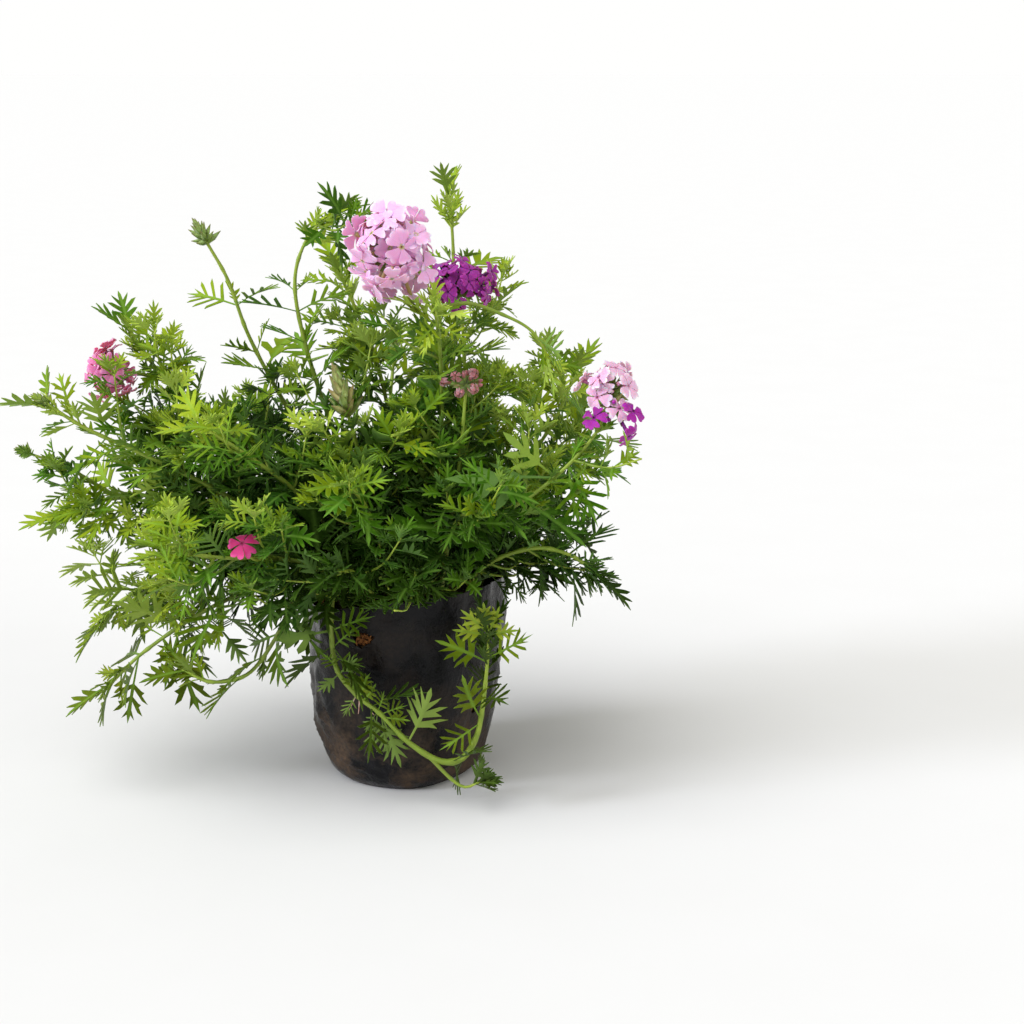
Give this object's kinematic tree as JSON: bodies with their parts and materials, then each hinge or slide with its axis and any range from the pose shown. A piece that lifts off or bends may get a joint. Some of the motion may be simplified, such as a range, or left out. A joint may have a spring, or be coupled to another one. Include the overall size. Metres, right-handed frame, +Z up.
{
  "type": "potted verbena",
  "caption": "Trailing verbena with finely cut leaves and small heads of pink and purple flowers, growing in a soil-filled black polythene nursery bag",
  "frame": {"origin": "the middle of the bag's flat bottom, which rests on the ground", "axes": "+Z up, out of the bag; -Y is the plant's front, where a shoot trails down the bag; +X is to the right as seen from the front"},
  "size_m": [0.3078, 0.2114, 0.3057],
  "materials": {
    "bag_film": "black polythene film, slightly shiny, creased and dusty",
    "potting_mix": "dark moist crumbly potting mix, dull",
    "foliage": "green leaves and stems, satin, with a fine down of hairs",
    "pale_pink_petals": "soft satin petals with a yellow-green eye",
    "purple_petals": "soft velvety petals with a darker middle",
    "rose_petals": "soft satin petals",
    "blush_petals": "soft satin petals",
    "magenta_petals": "soft velvety petals",
    "faded_petals": "dull, withering petals",
    "hot_pink_petals": "soft satin petals"
  },
  "bodies": {
    "root": {"grow_bag": "bag_film", "soil": "potting_mix", "stem_front_trailing": "foliage", "stem_left_low": "foliage", "stem_left_drooping": "foliage", "stem_left_sweeping": "foliage", "stem_left_reaching": "foliage", "stem_left_budding": "foliage", "stem_rose": "foliage", "stem_tall_bud": "foliage", "stem_left_middle": "foliage", "stem_left_front": "foliage", "stem_front_left": "foliage", "stem_front_middle": "foliage", "stem_front_upright": "foliage", "stem_spent_flower": "foliage", "stem_pale_pink": "foliage", "stem_purple": "foliage", "stem_hooked": "foliage", "stem_plume": "foliage", "stem_faded_pink": "foliage", "stem_right_flower": "foliage", "stem_right_low": "foliage", "stem_right_middle": "foliage", "stem_right_back": "foliage", "stem_back_tall": "foliage", "stem_back_left": "foliage", "stem_back_left_low": "foliage", "stem_left_back": "foliage", "stem_back_middle": "foliage", "stem_back_middle_low": "foliage", "stem_back_right": "foliage", "stem_back_right_low": "foliage", "head_pale_pink": "pale_pink_petals", "head_purple": "purple_petals", "head_rose": "rose_petals", "head_right_pale": "blush_petals", "head_right_magenta": "magenta_petals", "head_faded_pink": "faded_petals", "head_hot_pink": "hot_pink_petals"}
  },
  "joints": []
}
